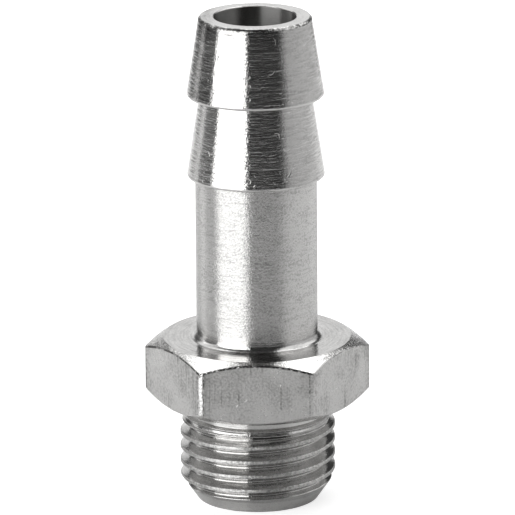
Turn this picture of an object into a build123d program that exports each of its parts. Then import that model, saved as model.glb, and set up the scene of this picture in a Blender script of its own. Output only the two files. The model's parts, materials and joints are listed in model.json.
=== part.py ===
from build123d import *
import os
from math import radians, sqrt, tan

# Straight hose tail with a male pipe thread, turned in one piece from rounded hexagon bar.
# All sizes are in millimetres. The part stands on its threaded end, with its axis on Z.

# Threaded end: a parallel G 1/8 pipe thread, as a plain cylinder over its crests.
thread_diameter = 9.52
shank_length = 6.2
end_face_diameter = 7.44
end_chamfer_angle = 35.0

# Run-out step, cut below the thread crests, and the groove cut below it beside the hexagon.
runout_depth = 0.33
runout_width = 0.4
groove_depth = 0.23
groove_width = 0.75
flank_angle = 60.0
groove_corner_radius = 0.2

# Hexagon for a 12 mm spanner, chamfered on both faces.
across_flats = 12.0
hexagon_height = 4.0
hexagon_face_diameter = 11.48
hexagon_chamfer_angle = 30.0
bar_corner_radius = 0.35

# Stem between the hexagon and the first barb.
stem_diameter = 7.44
stem_length = 10.2
stem_base_radius = 0.4

# Two barbs for a hose of 8 mm bore, each a cone that rises to a crest and drops in one flat step.
crest_diameter = 8.44
cone_end_diameter = 6.9
lower_barb_length = 5.05
upper_barb_length = 4.9
crest_radius = 0.15
step_corner_radius = 0.1

# Tip of the upper barb.
tip_face_diameter = 6.7
tip_break_height = 0.13
tip_edge_radius = 0.05

# Bore from end to end.
bore_diameter = 5.0
bore_edge_break = 0.06

# Heights of the faces, from the end face up.
groove_foot = shank_length - groove_width
runout_foot = groove_foot - runout_width
hexagon_top = shank_length + hexagon_height
lower_crest = hexagon_top + stem_length
upper_crest = lower_crest + lower_barb_length
total_length = upper_crest + upper_barb_length

# Radii of the turned diameters.
thread_r = thread_diameter / 2
end_face_r = end_face_diameter / 2
runout_r = thread_r - runout_depth
groove_r = runout_r - groove_depth
hexagon_face_r = hexagon_face_diameter / 2
stem_r = stem_diameter / 2
crest_r = crest_diameter / 2
cone_end_r = cone_end_diameter / 2
tip_face_r = tip_face_diameter / 2
bore_r = bore_diameter / 2

# The chamfer cones of the hexagon run out past the corners of a sharp hexagon of this radius.
sharp_corner_r = across_flats / sqrt(3)
hexagon_chamfer_height = (sharp_corner_r - hexagon_face_r) * tan(radians(hexagon_chamfer_angle))

# Heights that the slopes of the threaded end take up.
end_chamfer_height = (thread_r - end_face_r) / tan(radians(end_chamfer_angle))
runout_flank_height = runout_depth / tan(radians(flank_angle))
groove_flank_height = groove_depth / tan(radians(flank_angle))

# Where the edge break of the tip starts on the cone of the upper barb.
cone_slope = (crest_r - cone_end_r) / upper_barb_length
tip_break_foot = total_length - tip_break_height
tip_break_r = cone_end_r + cone_slope * tip_break_height


def threaded_end():
    """Corners of the shank outline as radius, height and corner radius, from the bore to the hexagon."""
    return [
        (bore_r, bore_edge_break, 0),
        (bore_r + bore_edge_break, 0, 0),
        (end_face_r, 0, 0),
        (thread_r, end_chamfer_height, 0),
        (thread_r, runout_foot - runout_flank_height, 0),
        (runout_r, runout_foot, 0),
        (runout_r, groove_foot - groove_flank_height, 0),
        (groove_r, groove_foot, 0),
        (groove_r, shank_length, groove_corner_radius),
    ]


def hexagon_zone():
    """Corners of the zone left as hexagon, which the turned outline only chamfers."""
    return [
        (hexagon_face_r, shank_length, 0),
        (sharp_corner_r, shank_length + hexagon_chamfer_height, 0),
        (sharp_corner_r, hexagon_top - hexagon_chamfer_height, 0),
        (hexagon_face_r, hexagon_top, 0),
    ]


def hose_end():
    """Corners of the stem, the two barbs and the tip, from the hexagon up and back to the bore."""
    return [
        (stem_r, hexagon_top, stem_base_radius),
        (stem_r, lower_crest, step_corner_radius),
        (crest_r, lower_crest, crest_radius),
        (cone_end_r, upper_crest, step_corner_radius),
        (crest_r, upper_crest, crest_radius),
        (tip_break_r, tip_break_foot, tip_edge_radius),
        (tip_face_r, total_length, tip_edge_radius),
        (bore_r + bore_edge_break, total_length, 0),
        (bore_r, total_length - bore_edge_break, 0),
    ]


def turned_body():
    """The whole half section, bore included, turned about the axis."""
    corners = threaded_end() + hexagon_zone() + hose_end()
    points = [(radius, height) for radius, height, _ in corners]
    roundings = [rounding for _, _, rounding in corners]
    with BuildPart() as body:
        with BuildSketch(Plane.XZ):
            with BuildLine():
                FilletPolyline(*points, radius=roundings, close=True)
            make_face()
        revolve(axis=Axis.Z)
    return body.part


def hexagon_bar():
    """The drawn bar that the part is turned from, with rounded corners on the X axis."""
    with BuildPart() as bar:
        with BuildSketch() as outline:
            RegularPolygon(radius=across_flats / 2, side_count=6, major_radius=False)
            fillet(outline.vertices(), radius=bar_corner_radius)
        extrude(amount=total_length)
    return bar.part


def hose_tail():
    """The finished part: what the lathe leaves of the hexagon bar."""
    with BuildPart() as tail:
        add(turned_body())
        add(hexagon_bar(), mode=Mode.INTERSECT)
    tail.part.label = "hose_tail"
    return tail.part


os.makedirs("parts", exist_ok=True)
export_step(hose_tail(), "parts/hose_tail.step")
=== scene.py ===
"""Looks of the straight hose tail: a nickel-plated body with a cut pipe thread, on a white studio floor."""

import json
import math
from types import SimpleNamespace

import bpy
from bpy.props import FloatProperty, FloatVectorProperty, IntProperty, PointerProperty
from mathutils import Euler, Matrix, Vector


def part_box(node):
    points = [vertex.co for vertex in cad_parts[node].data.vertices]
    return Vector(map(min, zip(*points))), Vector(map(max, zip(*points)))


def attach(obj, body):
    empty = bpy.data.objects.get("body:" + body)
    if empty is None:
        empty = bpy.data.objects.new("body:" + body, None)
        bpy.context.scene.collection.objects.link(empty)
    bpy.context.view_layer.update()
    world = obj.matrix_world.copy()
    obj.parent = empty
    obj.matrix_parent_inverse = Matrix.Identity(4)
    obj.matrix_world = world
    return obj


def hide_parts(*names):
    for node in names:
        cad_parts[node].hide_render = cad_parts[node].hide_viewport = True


bl_info = {
    "name": "Hose Barb Tail",
    "version": (1, 0, 0),
    "blender": (4, 5, 0),
    "location": "3D View > Sidebar > Hose Tail",
    "description": "Builds a plated hose tail with its thread, finish and studio",
    "category": "Object",
}

NODE = "hose_tail"
BODY = "root"
MM = 0.001

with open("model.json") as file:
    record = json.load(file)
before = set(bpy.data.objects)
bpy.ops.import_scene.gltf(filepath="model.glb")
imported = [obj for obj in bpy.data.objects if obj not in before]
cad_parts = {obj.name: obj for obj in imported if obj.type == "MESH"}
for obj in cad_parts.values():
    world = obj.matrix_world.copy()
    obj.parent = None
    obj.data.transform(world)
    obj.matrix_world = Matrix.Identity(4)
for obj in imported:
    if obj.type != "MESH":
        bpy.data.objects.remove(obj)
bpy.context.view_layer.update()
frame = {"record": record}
LOW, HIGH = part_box(NODE)
MOUNTS = {mount["name"]: mount for mount in frame["record"]["mounts"]}


def mount_radius(name):
    """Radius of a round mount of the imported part, in metres."""
    return MOUNTS[name]["dims"]["r_mm"] * MM


def mount_height(name):
    """Height of a mount's point, in metres."""
    return MOUNTS[name]["pos_m"][2]


# Values read from the frame: they are the defaults that the CAD model fixes.
TOTAL_LENGTH = HIGH.z
ACROSS_FLATS = HIGH.y - LOW.y
SEAT_HEIGHT = mount_height("seal_face")
HEXAGON_TOP = 2 * mount_height("spanner_flat") - SEAT_HEIGHT
THREAD_RADIUS = mount_radius("thread")
BORE_RADIUS = mount_radius("flow_bore")

SIXTH_TURN = math.tau / 6


def length(name, description, default):
    """A property that holds a length, with its default in metres."""
    return FloatProperty(
        name=name, description=description, default=default, min=0.0, precision=6,
        unit="LENGTH", subtype="DISTANCE",
    )


def colour(name, description, default):
    """A property that holds a linear colour."""
    return FloatVectorProperty(
        name=name, description=description, default=default, size=3, min=0.0, max=1.0,
        subtype="COLOR",
    )


def share(name, description, default, highest=1.0):
    """A property that holds a plain number from nothing up."""
    return FloatProperty(
        name=name, description=description, default=default, min=0.0, max=highest, subtype="FACTOR",
    )


def angle(name, description, default):
    """A property that holds an angle, with its default in degrees."""
    return FloatProperty(
        name=name, description=description, default=math.radians(default), subtype="ANGLE",
    )


class TailShape(bpy.types.PropertyGroup):
    """Sizes of the turned body, all in metres."""

    end_face_radius: length("End face radius", "Flat end of the shank", 3.72 * MM)
    end_chamfer: length("End chamfer height", "Height of the lead-in cone of the shank", 1.485 * MM)
    runout_depth: length("Run-out depth", "Step above the thread, below its crests", 0.33 * MM)
    runout_width: length("Run-out width", "Height of the step above the thread", 0.4 * MM)
    groove_depth: length("Groove depth", "Groove under the hexagon, below the step", 0.23 * MM)
    groove_width: length("Groove width", "Width of the floor of the groove", 0.75 * MM)
    groove_corner: length("Groove corner", "Rounding of the groove at the hexagon", 0.2 * MM)
    runout_hollow: length("Run-out hollow", "Depth of the hollow turned into the step", 0.07 * MM)
    neck_flank: angle("Neck flank angle", "Slope of both steps, from the axis", 60.0)
    face_radius: length("Face radius", "Where the chamfers of the hexagon start", 5.74 * MM)
    corner_radius: length("Bar corner radius", "Rounded corners of the drawn bar", 0.35 * MM)
    chamfer_angle: angle("Chamfer angle", "Slope of the hexagon's chamfers", 30.0)
    stem_radius: length("Stem radius", "Plain stem under the barbs", 3.72 * MM)
    stem_base: length("Stem base radius", "Hollow rounding at the foot of the stem", 0.4 * MM)
    stem_length: length("Stem length", "From the hexagon to the lower crest", 10.2 * MM)
    crest_radius: length("Crest radius", "Widest part of both barbs", 4.22 * MM)
    crest_rounding: length("Crest rounding", "Worn edge of each crest", 0.15 * MM)
    step_corner: length("Step corner", "Hollow rounding under each crest", 0.1 * MM)
    cone_end_radius: length("Cone end radius", "Narrow end of both cones", 3.45 * MM)
    lower_barb: length("Lower barb length", "From crest to crest", 5.05 * MM)
    tip_radius: length("Tip radius", "Flat ring at the mouth", 3.35 * MM)
    tip_break: length("Tip break height", "Broken edge round the mouth", 0.13 * MM)
    tip_edge: length("Tip edge rounding", "Rounding of the broken edge", 0.05 * MM)
    lip: length("Lip", "Broken edge of the bore at both ends", 0.06 * MM)
    edge: length("Edge rounding", "Small rounding of the hexagon's edges", 0.12 * MM)
    fine_edge: length("Fine edge rounding", "Rounding of the lips of the bore", 0.03 * MM)
    flat_columns: IntProperty(
        name="Columns on a flat", description="Mesh columns over one flat", default=38, min=4,
    )
    corner_columns: IntProperty(
        name="Columns on a corner", description="Mesh columns round one bar corner", default=8, min=2,
    )


class ThreadShape(bpy.types.PropertyGroup):
    """The right-hand pipe thread that is cut into the shank."""

    pitch: length("Pitch", "Height of one turn, 28 turns to the inch", 25.4 / 28 * MM)
    apex_radius: length("Apex radius", "Where the flanks would meet in a sharp crest", 4.93 * MM)
    root_radius: length("Root radius", "Bottom of the groove", 4.17 * MM)
    root_rounding: length("Root rounding", "Blend from the flanks into the root", 0.1 * MM)
    crest_height: length("Crest height", "Height of a crest at the front of the part", 4.385 * MM)
    flank_angle: angle("Flank angle", "Half the angle between the flanks", 27.5)
    burnish: length("Burnish", "Rounding at both sides of the flat crest", 0.03 * MM)
    fade: length("Fade", "Height over which the last turn runs out", 0.4 * MM)
    rows: IntProperty(name="Rows in a turn", description="Mesh rows over one pitch", default=26, min=8)


class PlateFinish(bpy.types.PropertyGroup):
    """Colour and surface of the nickel plate."""

    colour: colour("Plate colour", "Nickel seen head on", (0.69, 0.685, 0.675))
    turned_roughness: share("Turned roughness", "Blur of the turned faces", 0.13)
    stem_roughness: share("Stem roughness", "Blur of the plain stem", 0.25)
    drawn_roughness: share("Drawn roughness", "Blur of the hexagon's flats", 0.3)
    line_depth: length("Line depth", "Depth of the turning marks", 0.015 * MM)
    grain_depth: length("Grain depth", "Depth of the fine grain", 0.008 * MM)
    nick_depth: length("Nick depth", "Depth of handling marks", 0.008 * MM)
    # The bore's colour: dull metal, darkened further as painted shade for the depth of the bore.
    bore_dull_and_shade_colour: colour("Bore colour", "Dull metal inside the bore", (0.3, 0.297, 0.29))
    # The dark colour serves both the real stains of the plate and the painted shade.
    dull_and_shade_colour: colour("Dull colour", "Thin or stained plate", (0.1, 0.098, 0.095))
    # A painted highlight: the light colour laid on the rounded left front corner of the hexagon.
    corner_highlight_colour: colour("Rubbed colour", "Bright corner of the hexagon", (0.9, 0.895, 0.885))


class StudioSetup(bpy.types.PropertyGroup):
    """Camera and lights, as angles round the part from its front."""

    elevation: angle("Camera elevation", "Height of the camera above the horizon", 16.08)
    azimuth: angle("Camera azimuth", "Turn of the camera round the part", 0.5)
    roll: angle("Camera roll", "Lean of the picture", -0.391)
    distance: length("Camera distance", "From the lens to the part", 394.7 * MM)
    lens: FloatProperty(
        name="Lens", description="Focal length on a 36 mm sensor", default=451.57, subtype="DISTANCE_CAMERA",
    )
    floor_colour: colour("Floor colour", "Pale floor under the part", (0.53, 0.53, 0.53))
    floor_lift: share("Floor lift", "Brightness that the camera adds to the floor", 0.7, 2.0)
    near_glow: share("Near glow", "Light of the floor beside the part in the metal", 0.06, 2.0)
    far_glow: share("Far glow", "Light of the floor farther out in the metal", 0.2, 2.0)
    key_radiance: share("Key radiance", "Brightness of the large panel", 2.4, 50.0)
    fill_radiance: share("Fill radiance", "Light that the large panel's place adds to the floor", 2.4, 50.0)
    rim_radiance: share("Rim radiance", "Brightness of the narrow strip", 0.75, 50.0)
    top_radiance: share("Top radiance", "Brightness of the panel overhead", 1.7, 50.0)
    back_radiance: share("Back radiance", "Brightness of the lamp over the floor behind", 6.0, 50.0)


class Socket:
    """An output of a node that takes part in arithmetic: each operator adds a Math node."""

    def __init__(self, graph, socket):
        self.graph = graph
        self.socket = socket

    def math(self, operation, *others):
        """Any other Math operation, with this value as its first."""
        return self.graph.value(operation, self, *others)

    def __add__(self, other):
        return self.math("ADD", other)

    def __radd__(self, other):
        return self.math("ADD", other)

    def __sub__(self, other):
        return self.math("SUBTRACT", other)

    def __rsub__(self, other):
        return self.graph.value("SUBTRACT", other, self)

    def __mul__(self, other):
        return self.math("MULTIPLY", other)

    def __rmul__(self, other):
        return self.math("MULTIPLY", other)

    def __truediv__(self, other):
        return self.math("DIVIDE", other)

    def __rtruediv__(self, other):
        return self.graph.value("DIVIDE", other, self)

    def __lt__(self, other):
        return self.math("LESS_THAN", other)

    def __gt__(self, other):
        return self.math("GREATER_THAN", other)


class Graph:
    """A node tree that is filled node by node."""

    def __init__(self, tree):
        self.tree = tree
        self.tree.nodes.clear()

    def node(self, kind, settings=None, inputs=()):
        """Adds a node, sets it up, then fills its sockets with values or links. Returns its outputs."""
        made = self.tree.nodes.new(kind)
        for name, setting in (settings or {}).items():
            if name == "stops":
                self.set_stops(made.color_ramp, setting)
            else:
                setattr(made, name, setting)
        pairs = inputs.items() if isinstance(inputs, dict) else enumerate(inputs)
        for key, given in pairs:
            target = made.inputs[key]
            if isinstance(given, Socket):
                self.tree.links.new(given.socket, target)
            else:
                target.default_value = given
        return [Socket(self, output) for output in made.outputs if output.enabled]

    def set_stops(self, ramp, stops):
        """Replaces the stops of a colour ramp by grey levels at places."""
        while len(ramp.elements) > 1:
            ramp.elements.remove(ramp.elements[-1])
        for index, (place, level) in enumerate(stops):
            element = ramp.elements[0] if index == 0 else ramp.elements.new(place)
            element.position = place
            element.color = grey(level)

    def value(self, operation, *inputs):
        """The result of a Math node on numbers and sockets."""
        return self.node("ShaderNodeMath", {"operation": operation}, inputs)[0]

    def smooth_step(self, value, low, high):
        """Nothing below low, one above high, and a soft rise between them."""
        settings = {"interpolation_type": "SMOOTHSTEP"}
        return self.node("ShaderNodeMapRange", settings, [value, low, high, 0.0, 1.0])[0]

    def mix(self, factor, first, second):
        """The first colour at a factor of nothing, the second at one."""
        return self.node("ShaderNodeMix", {"data_type": "RGBA"}, {0: factor, 6: first, 7: second})[0]


def from_axis(x, y):
    """Distance from the axis of the part, in shader or geometry nodes."""
    return (x * x + y * y).math("SQRT")


def link(piece):
    """Puts a new object in the scene."""
    bpy.context.scene.collection.objects.link(piece)
    return piece


def hexagon_columns(sizes, flat_width):
    """Angles of the mesh columns and the bar's radius at each, once round the hexagon."""
    inner = flat_width / 2
    rounding = sizes.corner_radius
    arc_centre = (inner - rounding) / math.cos(SIXTH_TURN / 2)
    half_flat = (inner - rounding) * math.tan(SIXTH_TURN / 2)
    columns = []
    for corner in range(6):
        heading = corner * SIXTH_TURN
        for step in range(sizes.corner_columns):
            turn = (step / sizes.corner_columns - 0.5) * SIXTH_TURN
            x = arc_centre + rounding * math.cos(turn)
            y = rounding * math.sin(turn)
            columns.append((heading + math.atan2(y, x), math.hypot(x, y)))
        for step in range(sizes.flat_columns):
            along = half_flat * (2 * step / sizes.flat_columns - 1)
            turn = SIXTH_TURN / 2 + math.atan2(along, inner)
            columns.append((heading + turn, math.hypot(inner, along)))
    return columns


def rounded_outline(corners):
    """Points of an outline with its corners rounded: each corner is radius, height, rounding and steps."""
    points = []
    count = len(corners)
    for index, (radius, height, rounding, steps) in enumerate(corners):
        here = Vector((radius, height))
        if not rounding:
            points.append(here)
            continue
        before = (Vector(corners[index - 1][:2]) - here).normalized()
        after = (Vector(corners[(index + 1) % count][:2]) - here).normalized()
        turn = before.angle(after)
        reach = rounding / math.tan(turn / 2)
        start = here + before * reach
        end = here + after * reach
        centre = here + (before + after).normalized() * rounding / math.sin(turn / 2)
        first = start - centre
        sweep = first.angle_signed(end - centre)
        for step in range(steps + 1):
            part = sweep * step / steps
            spin = Vector((
                first.x * math.cos(part) + first.y * math.sin(part),
                first.y * math.cos(part) - first.x * math.sin(part),
            ))
            points.append(centre + spin)
    return points


def split_run(start, end, steps):
    """Points between two ends of a straight run, ends left out."""
    return [start.lerp(end, step / steps) for step in range(1, steps)]


class HOSETAIL_OT_body(bpy.types.Operator):
    """Build the plated body: shank with its thread, hexagon, stem, barbs and bore"""

    bl_idname = "hose_tail.body"
    bl_label = "Plated body"

    def execute(self, context):
        scene = context.scene
        blank = turned_blank(scene.hose_tail_shape, scene.hose_tail_thread)
        body = cut_thread(blank, scene.hose_tail_shape, scene.hose_tail_thread)
        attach(body, BODY)
        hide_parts(NODE)
        return {"FINISHED"}


def shank_corners(sizes):
    """Corners from the bore's lower lip up to the hexagon."""
    groove_foot = SEAT_HEIGHT - sizes.groove_width
    runout_foot = groove_foot - sizes.runout_width
    runout_radius = THREAD_RADIUS - sizes.runout_depth
    groove_radius = runout_radius - sizes.groove_depth
    steepness = math.tan(sizes.neck_flank)
    step_top = groove_foot - sizes.groove_depth / steepness
    return [
        (BORE_RADIUS, sizes.lip, sizes.fine_edge, 3),
        (BORE_RADIUS + sizes.lip, 0.0, sizes.fine_edge, 3),
        (sizes.end_face_radius, 0.0, sizes.fine_edge, 4),
        (THREAD_RADIUS, sizes.end_chamfer, 0.0, 0),
        (THREAD_RADIUS, runout_foot - sizes.runout_depth / steepness, 0.0, 0),
        (runout_radius, runout_foot, 0.0, 0),
        (runout_radius - sizes.runout_hollow, (runout_foot + step_top) / 2, sizes.fine_edge, 4),
        (runout_radius, step_top, sizes.fine_edge, 4),
        (groove_radius, groove_foot, sizes.fine_edge, 4),
        (groove_radius, SEAT_HEIGHT, sizes.groove_corner, 6),
    ]


def hexagon_corners(sizes, bar_radius):
    """Corners of the hexagon where the bar is this wide."""
    drop = (bar_radius - sizes.face_radius) * math.tan(sizes.chamfer_angle)
    return [
        (sizes.face_radius, SEAT_HEIGHT, sizes.edge, 4),
        (bar_radius, SEAT_HEIGHT + drop, sizes.edge, 5),
        (bar_radius, HEXAGON_TOP - drop, sizes.edge, 5),
        (sizes.face_radius, HEXAGON_TOP, sizes.edge, 4),
    ]


def hose_corners(sizes):
    """Corners of the stem, the barbs and the mouth, down to the bore."""
    lower_crest = HEXAGON_TOP + sizes.stem_length
    upper_crest = lower_crest + sizes.lower_barb
    upper_barb = TOTAL_LENGTH - upper_crest
    slope = (sizes.crest_radius - sizes.cone_end_radius) / upper_barb
    break_radius = sizes.cone_end_radius + slope * sizes.tip_break
    return [
        (sizes.stem_radius, HEXAGON_TOP, sizes.stem_base, 10),
        (sizes.stem_radius, lower_crest, sizes.step_corner, 4),
        (sizes.crest_radius, lower_crest, sizes.crest_rounding, 8),
        (sizes.cone_end_radius, upper_crest, sizes.step_corner, 4),
        (sizes.crest_radius, upper_crest, sizes.crest_rounding, 8),
        (break_radius, TOTAL_LENGTH - sizes.tip_break, sizes.tip_edge, 4),
        (sizes.tip_radius, TOTAL_LENGTH, sizes.tip_edge, 4),
        (BORE_RADIUS + sizes.lip, TOTAL_LENGTH, sizes.fine_edge, 3),
        (BORE_RADIUS, TOTAL_LENGTH - sizes.lip, sizes.fine_edge, 3),
    ]


def densify(points, row_height):
    """Adds rows: close ones along the threaded shank, and one near each end of every other straight run."""
    support = 0.04 * MM
    clear_of_bore = BORE_RADIUS * 1.2
    dense = []
    for index, here in enumerate(points):
        there = points[(index + 1) % len(points)]
        dense.append(here)
        run = there - here
        outside = min(here.x, there.x) > clear_of_bore
        if outside and max(here.y, there.y) < SEAT_HEIGHT and run.y > row_height:
            dense += split_run(here, there, math.ceil(run.y / row_height))
        elif run.length > 4 * support:
            dense.append(here + run.normalized() * support)
            dense.append(there - run.normalized() * support)
    return dense


def turned_blank(sizes, thread):
    """The body before its thread is cut, as one closed skin of rows and columns."""
    row_height = thread.pitch / thread.rows
    columns = hexagon_columns(sizes, ACROSS_FLATS)
    outlines = []
    for heading, bar_radius in columns:
        corners = shank_corners(sizes) + hexagon_corners(sizes, bar_radius) + hose_corners(sizes)
        outline = densify(rounded_outline(corners), row_height)
        outlines.append((heading, outline))
    rows = len(outlines[0][1])
    vertices = [
        (point.x * math.cos(heading), point.x * math.sin(heading), point.y)
        for heading, outline in outlines
        for point in outline
    ]
    faces = []
    for column in range(len(outlines)):
        following = (column + 1) % len(outlines)
        for row in range(rows):
            above = (row + 1) % rows
            faces.append((
                column * rows + row,
                following * rows + row,
                following * rows + above,
                column * rows + above,
            ))
    skin = bpy.data.meshes.new("turned_blank")
    skin.from_pydata(vertices, [], faces)
    skin.validate()
    return link(bpy.data.objects.new("turned_blank", skin))


THREAD_INPUTS = (
    "Pitch", "Crest Height", "Flank Angle", "Apex Radius", "Root Radius", "Root Rounding", "Burnish",
    "Run-out Radius", "Thread End", "Fade",
)


def thread_tree():
    """Geometry nodes that cut a helical thread with flat crests and rounded roots into the shank."""
    tree = bpy.data.node_groups.new("cut_pipe_thread", "GeometryNodeTree")
    tree.interface.new_socket("Body", in_out="INPUT", socket_type="NodeSocketGeometry")
    for name in THREAD_INPUTS:
        tree.interface.new_socket(name, in_out="INPUT", socket_type="NodeSocketFloat")
    tree.interface.new_socket("Plate", in_out="INPUT", socket_type="NodeSocketMaterial")
    tree.interface.new_socket("Body", in_out="OUTPUT", socket_type="NodeSocketGeometry")
    graph = Graph(tree)
    given = graph.node("NodeGroupInput")
    body, pitch, crest_height, flank_angle, apex, root, root_rounding, burnish = given[:8]
    runout, thread_end, fade, plate = given[8:12]
    position = graph.node("GeometryNodeInputPosition")[0]
    x, y, z = graph.node("ShaderNodeSeparateXYZ", inputs=[position])
    radius = from_axis(x, y)
    # Turns round the axis, counted from the front of the part, a quarter turn before +X.
    turns = y.math("ARCTAN2", x) / math.tau + 0.25
    phase = ((z - crest_height) / pitch - turns).math("FRACT")
    from_crest = (0.5 - (phase - 0.5).math("ABSOLUTE")) * pitch
    flanks = apex - from_crest / flank_angle.math("TANGENT")
    run_out = graph.smooth_step(z, thread_end - fade, thread_end)
    form = flanks.math("SMOOTH_MAX", root + (runout - root) * run_out, root_rounding)
    cut = radius.math("SMOOTH_MIN", form, burnish)
    factor = cut / radius
    moved = graph.node("ShaderNodeCombineXYZ", inputs=[x * factor, y * factor, z])[0]
    # The bore is narrower than any root, and its wall isn't cut.
    in_bore = radius < root * 0.8
    threaded = (z < thread_end) * (1 - in_bore)
    cut_body = graph.node("GeometryNodeSetPosition", inputs=[body, threaded, moved])[0]
    smooth = graph.node("GeometryNodeSetShadeSmooth", inputs=[cut_body])[0]
    real = graph.node("GeometryNodeRealizeInstances", inputs=[smooth])[0]
    plated = graph.node("GeometryNodeSetMaterial", inputs={"Geometry": real, "Material": plate})[0]
    graph.node("NodeGroupOutput", inputs=[plated])
    return tree


def cut_thread(blank, sizes, thread):
    """Runs the thread nodes on the blank and returns the finished body as a plain mesh."""
    modifier = blank.modifiers.new("cut_pipe_thread", "NODES")
    modifier.node_group = thread_tree()
    given = {
        "Pitch": thread.pitch,
        "Crest Height": thread.crest_height,
        "Flank Angle": thread.flank_angle,
        "Apex Radius": thread.apex_radius,
        "Root Radius": thread.root_radius,
        "Root Rounding": thread.root_rounding,
        "Burnish": thread.burnish,
        "Run-out Radius": THREAD_RADIUS - sizes.runout_depth,
        "Thread End": SEAT_HEIGHT - sizes.groove_width - sizes.runout_width,
        "Fade": thread.fade,
        "Plate": turned_plate(),
    }
    for socket in modifier.node_group.interface.items_tree:
        if socket.in_out == "INPUT" and socket.name in given:
            modifier[socket.identifier] = given[socket.name]
    bpy.context.view_layer.update()
    evaluated = blank.evaluated_get(bpy.context.evaluated_depsgraph_get())
    mesh = bpy.data.meshes.new_from_object(evaluated)
    mesh.name = "plated_body"
    bpy.data.objects.remove(blank)
    mesh.materials.append(drawn_plate())
    mark_flats(mesh, sizes)
    return link(bpy.data.objects.new("plated_body", mesh))


def mark_flats(mesh, sizes):
    """Gives the upright faces of the hexagon the second material, the drawn one."""
    largest_tilt = 0.02
    for polygon in mesh.polygons:
        centre = polygon.center
        outside = math.hypot(centre.x, centre.y) > sizes.face_radius
        if outside and abs(polygon.normal.z) < largest_tilt:
            polygon.material_index = 1


def new_material(name):
    """An empty material, its graph and its object coordinates."""
    material = bpy.data.materials.new(name)
    material.use_nodes = True
    graph = Graph(material.node_tree)
    return material, graph, graph.node("ShaderNodeTexCoord")[3]


def opaque(colour):
    """A colour of a property as a node takes it."""
    return (*colour, 1.0)


def grey(level):
    """A grey level as a node's colour."""
    return (level, level, level, 1.0)


def metal(graph, colour, roughness, height, anisotropy=0.0, brush_turn=0.0):
    """Ends a graph in a metal shader, with a height in metres as its bump."""
    normal = graph.node("ShaderNodeBump", inputs={"Strength": 1.0, "Distance": 1.0, "Height": height})[0]
    shader = graph.node(
        "ShaderNodeBsdfPrincipled",
        inputs={
            "Metallic": 1.0, "Base Color": colour, "Roughness": roughness, "Normal": normal,
            "Anisotropic": anisotropy, "Anisotropic Rotation": brush_turn,
        },
    )[0]
    graph.node("ShaderNodeOutputMaterial", inputs=[shader])


# Patterns of the plate, in marks to the metre: on the turned faces, then on the flats of the hexagon.
RING_SCALE = 8000.0
BAND_SCALE = 2500.0
GRAIN_SCALE = 9000.0
BLOTCH_SCALE = 4500.0
CLOUD_SCALE = 900.0
FLAT_LINE_SCALES = (5000.0, 5000.0, 120.0)
FLAT_GRAIN_SCALE = 7000.0
FLAT_CLOUD_SCALE = 600.0

# How often the rings and the wider bands change on the way round the axis.
RING_CHANGES = 4.0
BAND_CHANGES = 1.5

# Bumps on the upper edges of the hexagon, in depths of the grain, and the span across which the painted
# shade along those edges fades out on the right.
EDGE_BUMPS = 6.0
EDGE_SHADE_FADE = (3.2 * MM, 3.6 * MM)

# On a flat, from its middle: where the painted shade towards the corner rises, the burr with half its width,
# and the bar's corner.
CORNER_SHADE = (2.5 * MM, 3.3 * MM)
BURR_PLACE = 3.22 * MM
BURR_HALF_WIDTH = 0.05 * MM
CORNER_START = 3.27 * MM

# Of the turned faces: the polished foot of the stem, over the hexagon, and the play in a zone's limits.
POLISHED_FOOT = (0.45 * MM, 1.0 * MM)
PLAY = 0.05 * MM

# A handling mark, in cells: where along it the dent starts and ends to fade, half its width and its bend.
MARK_FADE = (0.1, 0.35)
MARK_HALF_WIDTH = 0.06
MARK_BEND = 3.0


def fractal(graph, place, scale, detail):
    """Noise of one scale, between nothing and one and mostly near a half."""
    return graph.node("ShaderNodeTexNoise", inputs={"Vector": place, "Scale": scale, "Detail": detail})[0]


def ring_noise(graph, x, y, z, changes, scale, detail):
    """Noise that runs in rings round the axis, on a face of any slope."""
    radius = from_axis(x, y)
    place = graph.node(
        "ShaderNodeCombineXYZ", inputs=[x / radius * changes, y / radius * changes, z * scale]
    )[0]
    return graph.node(
        "ShaderNodeTexNoise",
        {"noise_dimensions": "4D"},
        {"Vector": place, "W": radius * scale, "Scale": 1.0, "Detail": detail},
    )[0]


def handling_marks(graph, place, cell, density):
    """Short crescent dents left by handling: at most one in each cell of the unrolled surface."""
    x, y, z = graph.node("ShaderNodeSeparateXYZ", inputs=[place])
    along = x.math("ARCTAN2", y * -1.0) * from_axis(x, y)
    unrolled = graph.node("ShaderNodeCombineXYZ", inputs=[along / cell, z / cell, 0.0])[0]
    _, chance, centre = graph.node(
        "ShaderNodeTexVoronoi", {"voronoi_dimensions": "2D"}, {"Vector": unrolled, "Scale": 1.0}
    )[:3]
    offset = graph.node("ShaderNodeVectorMath", {"operation": "SUBTRACT"}, [unrolled, centre])[0]
    u, v, _ = graph.node("ShaderNodeSeparateXYZ", inputs=[offset])
    red, green, blue = graph.node("ShaderNodeSeparateColor", inputs=[chance])
    lean = red * math.tau
    sine = lean.math("SINE")
    cosine = lean.math("COSINE")
    lengthwise = u * cosine + v * sine
    across = v * cosine - u * sine - lengthwise * lengthwise * (green * MARK_BEND)
    inside = 1 - graph.smooth_step(lengthwise.math("ABSOLUTE"), *MARK_FADE)
    line = 1 - graph.smooth_step(across.math("ABSOLUTE"), 0.0, MARK_HALF_WIDTH)
    return line * inside * (blue < density)


def under_chamfer(sizes, radius, z):
    """Depth under the upper chamfer of the hexagon, along the axis."""
    return HEXAGON_TOP - z - (radius - sizes.face_radius) * math.tan(sizes.chamfer_angle)


def but_right(graph, x):
    """One but for the right-hand side of the hexagon, where the painted shade along its upper edges stops.
    """
    return 1 - graph.smooth_step(x, *EDGE_SHADE_FADE)


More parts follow.
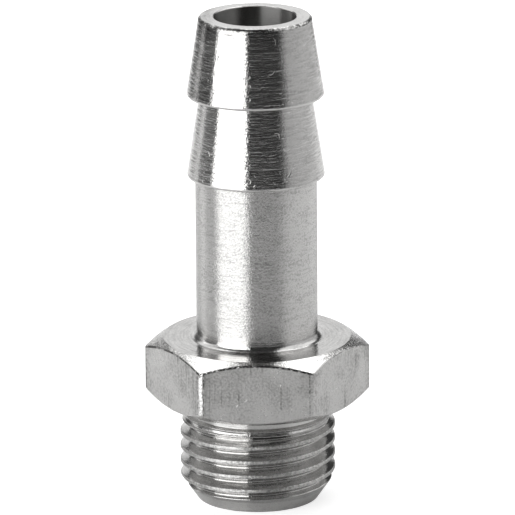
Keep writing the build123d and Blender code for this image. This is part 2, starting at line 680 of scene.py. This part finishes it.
def turned_zones(graph, sizes, x, z, radius):
    """Masks of the turned faces by name: each is one inside its zone and nothing outside."""
    stem_top = HEXAGON_TOP + sizes.stem_length
    upper_step = stem_top + sizes.lower_barb
    sideways = x.math("ABSOLUTE")
    # The foot of the stem is polished, so the stem's own finish starts above it.
    above_foot = graph.smooth_step(z - HEXAGON_TOP, *POLISHED_FOOT)
    on_chamfer = (radius > sizes.face_radius + PLAY) * (z > (SEAT_HEIGHT + HEXAGON_TOP) / 2)
    on_shank = z < SEAT_HEIGHT - sizes.groove_width
    on_land = on_shank * graph.smooth_step(radius, THREAD_RADIUS - 0.07 * MM, THREAD_RADIUS - 0.03 * MM)
    near_mouth = graph.smooth_step(z, TOTAL_LENGTH - 1.2 * MM, TOTAL_LENGTH - 0.3 * MM)
    under_mouth = near_mouth * (z < TOTAL_LENGTH - PLAY)
    near_crest = graph.smooth_step(radius, sizes.cone_end_radius + 0.1 * MM, sizes.crest_radius)
    return SimpleNamespace(
        below_hexagon=z < SEAT_HEIGHT,
        stem=above_foot * (z < stem_top) * (radius < sizes.crest_radius),
        disc=(z > HEXAGON_TOP - 0.03 * MM) * (z < HEXAGON_TOP + 0.03 * MM),
        chamfer_sides=on_chamfer * graph.smooth_step(sideways, 3.8 * MM, 4.6 * MM),
        hexagon_edge=on_chamfer * (under_chamfer(sizes, radius, z) > 0.01 * MM) * but_right(graph, x),
        mouth_edge=(radius > sizes.tip_radius - PLAY) * (z > TOTAL_LENGTH - sizes.tip_break - PLAY),
        mouth_side_shade=graph.smooth_step(sideways, 2.0 * MM, 2.9 * MM),
        darker_under_mouth=under_mouth * (1 - graph.smooth_step(x, 1.2 * MM, 2.0 * MM)),
        darker_left_of_barb=(z > upper_step + 0.3 * MM) * graph.smooth_step(x * -1.0, 2.3 * MM, 3.0 * MM),
        bore=radius < BORE_RADIUS + 0.02 * MM,
        land=on_land,
        flank=on_shank * (1 - on_land) * (z > sizes.end_chamfer * 0.5),
        barb_crest=near_crest * (z > stem_top),
    )


# The plain numbers in the two finishes are shares of an effect.


def turned_plate():
    """Nickel over turned brass: fine rings round the axis, grain, worn edges, handling marks, and painted
    shade on some edges, in the thread's grooves and in the bore.
    """
    finish = bpy.context.scene.hose_tail_finish
    material, graph, place = new_material("turned_plate")
    x, y, z = graph.node("ShaderNodeSeparateXYZ", inputs=[place])
    on = turned_zones(graph, bpy.context.scene.hose_tail_shape, x, z, from_axis(x, y))
    lines = ring_noise(graph, x, y, z, RING_CHANGES, RING_SCALE, 3.0)
    bands = ring_noise(graph, x, y, z, BAND_CHANGES, BAND_SCALE, 1.0)
    grain = fractal(graph, place, GRAIN_SCALE, 2.0)
    blotch = fractal(graph, place, BLOTCH_SCALE, 2.0)
    cloud = fractal(graph, place, CLOUD_SCALE, 3.0)
    # Surface: rings, fainter on the stem and the disc, grain, coarser on worn edges, and dents.
    lined = (1 - on.below_hexagon * 0.85) * (1 - on.bore) * (1 - on.disc * 0.6)
    rings = (lines - 0.5) * (1.3 - on.stem * 0.9) + (bands - 0.5) * (1 - on.stem * 0.7)
    worn = on.chamfer_sides + on.mouth_edge + on.land * 2.5
    grain_share = 1 + on.stem * 1.3 + worn * 2.5 - on.bore * 0.8
    marks = handling_marks(graph, place, 1.0 * MM, 0.16) * (1 - on.below_hexagon)
    crest_marks = handling_marks(graph, place, 0.4 * MM, 0.45) * on.barb_crest
    height = (
        rings * lined * finish.line_depth
        + (grain - 0.5) * grain_share * finish.grain_depth
        + (blotch - 0.5) * on.hexagon_edge * (finish.grain_depth * EDGE_BUMPS)
        - (marks + crest_marks * 0.7) * finish.nick_depth
    )
    roughness = (
        finish.turned_roughness + on.stem * (finish.stem_roughness - finish.turned_roughness)
        + (bands - 0.5) * 0.08 + (grain - 0.5) * 0.06
        + on.land * 0.17 - on.flank * 0.06 - on.disc * 0.03 + on.bore * 0.3
    )
    # Colour: streaks along the rings, clouds, worn spots, darker clouds on the left of the upper barb and
    # under the mouth, and painted shade along the hexagon's edges, at the sides of the mouth and in the
    # thread's grooves.
    spots = graph.smooth_step(blotch, 0.42, 0.58)
    haze = 0.2 + cloud * 0.4
    dullness_and_shade = (
        (lines - 0.45) * 0.8 * (1 - on.below_hexagon * 0.5)
        + (cloud - 0.5) * 0.4
        + (grain - 0.5) * (0.6 + on.stem * 0.7)
        # Painted shade: a dark, blotchy line along the hexagon's upper edges.
        + on.hexagon_edge * (blotch < 0.54)
        # Dark blotches of wear on the mouth's broken edge, darker still at its left and right as painted
        # shade.
        + on.mouth_edge * spots * (0.4 + on.mouth_side_shade * 0.5)
        + (on.chamfer_sides * 0.4 + on.land * 0.3) * spots
        # Painted shade in the thread's grooves: their flanks are darker than the crests.
        + on.flank * 0.26
        # Cloudy darkening on the left of the upper barb, and under the mouth except on its right.
        + (on.darker_left_of_barb + on.darker_under_mouth) * haze
        + on.disc * 0.18
    )
    outside = graph.mix(dullness_and_shade, opaque(finish.colour), opaque(finish.dull_and_shade_colour))
    # The bore takes its own dark colour, part dull metal and part painted shade for its depth, the more
    # fully the darker the ring of the pattern is there.
    colour_here = graph.mix(on.bore * (1.25 - lines * 0.7), outside, opaque(finish.bore_dull_and_shade_colour))
    metal(graph, colour_here, roughness, height, anisotropy=1.0, brush_turn=0.25)
    return material


def drawn_plate():
    """Nickel over drawn bar: faint lines along the bar, a matt grain, marked strips by the corners, painted
    shade towards the corners and under the upper edges, and a painted highlight on the left front corner.
    """
    finish = bpy.context.scene.hose_tail_finish
    sizes = bpy.context.scene.hose_tail_shape
    material, graph, place = new_material("drawn_plate")
    x, y, z = graph.node("ShaderNodeSeparateXYZ", inputs=[place])
    # Distance along a flat from its middle, whichever of the six it is.
    sixth = (y.math("ARCTAN2", x) / SIXTH_TURN).math("FRACT")
    along = ((sixth - 0.5) * SIXTH_TURN).math("TANGENT") * (ACROSS_FLATS / 2)
    from_middle = along.math("ABSOLUTE")
    # Painted shade: each flat darkens towards the bar's corners.
    near_corner_shade = graph.smooth_step(from_middle, *CORNER_SHADE)
    on_corner = from_middle > CORNER_START
    off_burr = (from_middle - BURR_PLACE).math("ABSOLUTE")
    on_burr = 1 - graph.smooth_step(off_burr, 0.0, BURR_HALF_WIDTH)
    on_edge = (under_chamfer(sizes, from_axis(x, y), z) < 0.11 * MM) * but_right(graph, x)
    left_front = (x < -2.0 * MM) * (y < -4.0 * MM)
    up_the_flat = (z - SEAT_HEIGHT) / (HEXAGON_TOP - SEAT_HEIGHT)
    stretched = graph.node("ShaderNodeMapping", inputs={"Vector": place, "Scale": FLAT_LINE_SCALES})[0]
    lines = fractal(graph, stretched, 1.0, 3.0)
    grain = fractal(graph, place, FLAT_GRAIN_SCALE, 3.0)
    blotch = fractal(graph, place, BLOTCH_SCALE, 2.0)
    cloud = fractal(graph, place, FLAT_CLOUD_SCALE, 3.0)
    streaks = graph.smooth_step(lines, 0.52, 0.7) * graph.smooth_step(cloud + near_corner_shade * 0.12, 0.48, 0.6)
    height = (
        (lines - 0.5) * (finish.line_depth * 0.7)
        + (grain - 0.5) * (finish.grain_depth * 2.5)
        + (blotch - 0.5) * on_edge * (finish.grain_depth * EDGE_BUMPS)
        - handling_marks(graph, place, 0.8 * MM, 0.25) * (finish.nick_depth * 0.8)
    )
    roughness = finish.drawn_roughness * (1 - on_corner * 0.5) + (cloud - 0.5) * 0.1 + (grain - 0.5) * 0.1
    dullness_and_shade = (
        streaks * 0.4
        + near_corner_shade * 0.12
        + (cloud - 0.47) * 0.9
        + (grain - 0.5) * 1.2
        + on_burr * graph.smooth_step(grain, 0.4, 0.55) * 0.6
        # Painted shade: a dark, blotchy line along the upper edge of each flat.
        + on_edge * (blotch < 0.56)
        + up_the_flat * 0.16
    )
    # Painted highlight on the rounded left front corner, broken by blotches.
    corner_highlight = on_corner * left_front * graph.smooth_step(blotch, 0.4, 0.5)
    stained_and_shaded = graph.mix(dullness_and_shade, opaque(finish.colour), opaque(finish.dull_and_shade_colour))
    colour_here = graph.mix(corner_highlight, stained_and_shaded, opaque(finish.corner_highlight_colour))
    metal(graph, colour_here, roughness, height)
    return material


class HOSETAIL_OT_stage(bpy.types.Operator):
    """Lay the floor, hang the tent and the lamps, and set the camera"""

    bl_idname = "hose_tail.stage"
    bl_label = "Studio"

    def execute(self, context):
        studio = context.scene.hose_tail_studio
        lay_floor(studio)
        hang_tent()
        hang_lamps(studio)
        light_world()
        set_camera(studio)
        context.scene.view_settings.view_transform = "Standard"
        return {"FINISHED"}


# Half the floor's width, and the distances from the part between which its glow in the metal changes: the
# dimmer glow near the part is a painted shadow.
FLOOR_HALF = 1.5
GLOW_REACH = (0.015, 0.05)

# Grey levels of the tent by degrees from the front towards +X: near the floor, and higher on its wall.
TENT_LOW = [
    (-180, 0.90), (-168, 0.90), (-160, 0.80), (-154, 0.10), (-134, 0.12), (-129, 0.28), (-108, 0.13),
    (-80, 0.11), (-76, 0.60), (-18, 0.60), (-16, 0.035), (44, 0.03), (50, 0.12), (60, 0.42),
    (100, 0.55), (142, 0.50), (148, 0.06), (163, 0.06), (166, 0.80), (172, 0.90), (180, 0.90),
]
TENT_HIGH = [
    (-180, 0.95), (-174, 0.95), (-166, 0.10), (-134, 0.10), (-129, 1.00), (-80, 1.00), (-76, 0.60),
    (-18, 0.60), (-16, 0.035), (49, 0.03), (62, 1.00), (140, 1.20), (146, 0.06), (168, 0.06),
    (174, 0.95), (180, 0.95),
]
ROOF_TONE = 1.0
OPENING_TONE = 0.04

# Rises of the sight line to the tent, as sines, between which one tone gives way to the next.
LOW_TO_HIGH = (0.3, 0.38)
WALL_TO_ROOF = (0.52, 0.59)

# Sight lines between which the roof opens: its left, right and back edge.
OPENING_LEFT = (-0.9, -0.7)
OPENING_RIGHT = (0.26, 0.38)
OPENING_BACK = (0.12, 0.22)

# Rings of the tent from the floor up, as radius and height, and the point that its tones are seen from.
TENT_RINGS = [
    (0.16, 0.0005), (0.5, 0.0005), (0.5, 0.32), (0.44, 0.42), (0.32, 0.5), (0.16, 0.545), (0.01, 0.56),
]
TENT_STEPS = 96
TENT_EYE = (0.0, 0.0, 0.015)

# Lamps: each place in degrees from the front, distance and height, and each size as width and height.
KEY_PLACE = (-47.1, 0.25, 0.125)
KEY_SIZE = (0.284, 0.25)
RIM_PLACE = (-118.5, 0.3, 0.1)
RIM_SIZE = (0.07, 0.2)
TOP_PLACE = (180.0, 0.24, 0.4)
TOP_SIZE = (0.4, 0.36)
BACK_PLACE = (180.0, 0.2, 0.1)
BACK_SIZE = (0.5, 0.12)

# Share of its brightness that the white surround gives as light.
WORLD_LIGHT = 0.2

# The point that the camera looks at, the width of its sensor in millimetres, and the depth that it sees.
CAMERA_AIM = Vector((0.055, 0.0, 15.15)) * MM
SENSOR_WIDTH = 36.0
CAMERA_CLIP = (0.01, 10.0)


def around(azimuth, distance, height):
    """A point at this many degrees from the front, towards +X, at a distance from the axis."""
    turn = math.radians(azimuth)
    return Vector((math.sin(turn) * distance, -math.cos(turn) * distance, height))


def background_ray(graph):
    """One for rays that show the background, straight, mirrored or refracted, and one for the straight."""
    path = graph.node("ShaderNodeLightPath")
    camera, glossy, transmission = path[0], path[3], path[6]
    return (camera + glossy + transmission).math("MINIMUM", 1.0), camera


def lay_floor(studio):
    """A pale floor, matt to the eye and glossy in the reflections of the metal."""
    half = FLOOR_HALF
    mesh = bpy.data.meshes.new("floor")
    corners = [(-half, -half, 0), (half, -half, 0), (half, half, 0), (-half, half, 0)]
    mesh.from_pydata(corners, [], [(0, 1, 2, 3)])
    material, graph, place = new_material("floor_acrylic")
    colour_here = opaque(studio.floor_colour)
    reach = graph.node("ShaderNodeVectorMath", {"operation": "LENGTH"}, [place])[0]
    # Painted shadow: the floor's glow in the metal is dimmer near the part.
    glow = graph.mix(
        graph.smooth_step(reach, *GLOW_REACH), grey(studio.near_glow), grey(studio.far_glow)
    )
    glossy = graph.node(
        "ShaderNodeBsdfPrincipled",
        inputs={
            "Base Color": colour_here, "Roughness": 0.08, "IOR": 1.5,
            "Emission Color": glow, "Emission Strength": 1.0,
        },
    )[0]
    matt = graph.node("ShaderNodeBsdfDiffuse", inputs={"Color": colour_here})[0]
    lift = graph.node("ShaderNodeEmission", inputs={"Color": grey(1.0), "Strength": studio.floor_lift})[0]
    seen = graph.node("ShaderNodeAddShader", inputs=[matt, lift])[0]
    _, camera = background_ray(graph)
    both = graph.node("ShaderNodeMixShader", inputs=[camera, glossy, seen])[0]
    graph.node("ShaderNodeOutputMaterial", inputs=[both])
    mesh.materials.append(material)
    link(bpy.data.objects.new("floor", mesh))


def tent_tone(graph, turn, levels):
    """Grey level of the cloth by its place round the part."""
    stops = [((degrees + 180) / 360, level) for degrees, level in levels]
    return graph.node("ShaderNodeValToRGB", {"stops": stops}, [turn])[0]


def tent_cloth():
    """Cloth of the tent: toned walls, and a white roof with a dark opening above the camera."""
    material, graph, place = new_material("tent_cloth")
    away = graph.node("ShaderNodeVectorMath", {"operation": "SUBTRACT"}, [place, TENT_EYE])[0]
    heading = graph.node("ShaderNodeVectorMath", {"operation": "NORMALIZE"}, [away])[0]
    x, y, z = graph.node("ShaderNodeSeparateXYZ", inputs=[heading])
    turn = x.math("ARCTAN2", y * -1.0) / math.tau + 0.5
    right_of_left = graph.smooth_step(x, *OPENING_LEFT)
    left_of_right = 1 - graph.smooth_step(x + y * 0.6, *OPENING_RIGHT)
    before_back = 1 - graph.smooth_step(y, *OPENING_BACK)
    opening = right_of_left * left_of_right * before_back
    roof = ROOF_TONE + opening * (OPENING_TONE - ROOF_TONE)
    low = tent_tone(graph, turn, TENT_LOW)
    high = tent_tone(graph, turn, TENT_HIGH)
    walls = graph.mix(graph.smooth_step(z, *LOW_TO_HIGH), low, high)
    # The roof starts lower at the back and on the left.
    leaned = z + y * 0.05 - x * 0.15
    tone = graph.mix(graph.smooth_step(leaned, *WALL_TO_ROOF), walls, roof)
    glow = graph.node("ShaderNodeEmission", inputs=[tone])[0]
    graph.node("ShaderNodeOutputMaterial", inputs=[glow])
    return material


def hang_tent():
    """The light tent over the part: only reflections show it."""
    vertices = [
        around(360 * step / TENT_STEPS, radius, height)
        for radius, height in TENT_RINGS
        for step in range(TENT_STEPS)
    ]
    faces = []
    for ring in range(len(TENT_RINGS) - 1):
        for step in range(TENT_STEPS):
            here = ring * TENT_STEPS + step
            beside = ring * TENT_STEPS + (step + 1) % TENT_STEPS
            faces.append((here, beside, beside + TENT_STEPS, here + TENT_STEPS))
    mesh = bpy.data.meshes.new("light_tent")
    mesh.from_pydata(vertices, [], faces)
    mesh.materials.append(tent_cloth())
    tent = link(bpy.data.objects.new("light_tent", mesh))
    tent.visible_camera = False
    tent.visible_diffuse = False
    tent.visible_shadow = False


def panel(name, place, size, radiance, downwards=False, glossy=True):
    """A lamp of even brightness that faces the axis or the floor. The camera doesn't see it."""
    lamp = bpy.data.lights.new(name, "AREA")
    lamp.shape = "RECTANGLE"
    lamp.size, lamp.size_y = size
    lamp.energy = radiance * math.pi * size[0] * size[1]
    piece = link(bpy.data.objects.new(name, lamp))
    piece.location = around(*place)
    ahead = Vector((0, 0, -1)) if downwards else -around(place[0], place[1], 0.0)
    piece.rotation_euler = ahead.to_track_quat("-Z", "Y").to_euler()
    piece.visible_camera = False
    piece.visible_glossy = glossy


def hang_lamps(studio):
    """The large panel on the left, the narrow strip behind it, the panel overhead and the lamp behind."""
    panel("key_panel", KEY_PLACE, KEY_SIZE, studio.key_radiance)
    panel("key_fill", KEY_PLACE, KEY_SIZE, studio.fill_radiance, glossy=False)
    panel("rim_strip", RIM_PLACE, RIM_SIZE, studio.rim_radiance)
    panel("top_panel", TOP_PLACE, TOP_SIZE, studio.top_radiance, downwards=True)
    panel("back_lamp", BACK_PLACE, BACK_SIZE, studio.back_radiance, downwards=True, glossy=False)


def light_world():
    """A white surround for what the camera and the metal see, dimmer as a light."""
    world = bpy.data.worlds.new("white_room")
    world.use_nodes = True
    graph = Graph(world.node_tree)
    seen, _ = background_ray(graph)
    strength = WORLD_LIGHT + seen * (1 - WORLD_LIGHT)
    shader = graph.node("ShaderNodeBackground", inputs={"Color": grey(1.0), "Strength": strength})[0]
    graph.node("ShaderNodeOutputWorld", inputs=[shader])
    bpy.context.scene.world = world


def set_camera(studio):
    """A long lens at the photograph's angle."""
    camera = bpy.data.cameras.new("camera")
    camera.sensor_width = SENSOR_WIDTH
    camera.lens = studio.lens
    camera.clip_start, camera.clip_end = CAMERA_CLIP
    piece = link(bpy.data.objects.new("camera", camera))
    away = Vector((0, -math.cos(studio.elevation), math.sin(studio.elevation))) * studio.distance
    away.rotate(Euler((0, 0, studio.azimuth)))
    piece.location = CAMERA_AIM + away
    look = (-away).to_track_quat("-Z", "Y")
    roll = Euler((0, 0, studio.roll)).to_quaternion()
    piece.rotation_euler = (look @ roll).to_euler()
    bpy.context.scene.camera = piece


class HOSETAIL_PT_panel(bpy.types.Panel):
    """Sizes, finish and studio of the hose tail"""

    bl_label = "Hose Tail"
    bl_space_type = "VIEW_3D"
    bl_region_type = "UI"
    bl_category = "Hose Tail"

    def draw(self, context):
        scene = context.scene
        for title, group, action in (
            ("Body", scene.hose_tail_shape, None),
            ("Thread", scene.hose_tail_thread, None),
            ("Plate", scene.hose_tail_finish, HOSETAIL_OT_body.bl_idname),
            ("Studio", scene.hose_tail_studio, HOSETAIL_OT_stage.bl_idname),
        ):
            box = self.layout.box()
            box.label(text=title)
            for name in group.__annotations__:
                box.prop(group, name)
            if action:
                box.operator(action)


GROUPS = {
    "hose_tail_shape": TailShape,
    "hose_tail_thread": ThreadShape,
    "hose_tail_finish": PlateFinish,
    "hose_tail_studio": StudioSetup,
}
CLASSES = (*GROUPS.values(), HOSETAIL_OT_body, HOSETAIL_OT_stage, HOSETAIL_PT_panel)


def register():
    """Makes the groups, operators and panel known to Blender."""
    for cls in CLASSES:
        bpy.utils.register_class(cls)
    for name, group in GROUPS.items():
        setattr(bpy.types.Scene, name, PointerProperty(type=group))


def unregister():
    """Takes back what register did."""
    for name in GROUPS:
        delattr(bpy.types.Scene, name)
    for cls in reversed(CLASSES):
        bpy.utils.unregister_class(cls)


def main():
    """Builds the part and its studio."""
    register()
    bpy.ops.hose_tail.body()
    bpy.ops.hose_tail.stage()


if __name__ == "__main__":
    main()
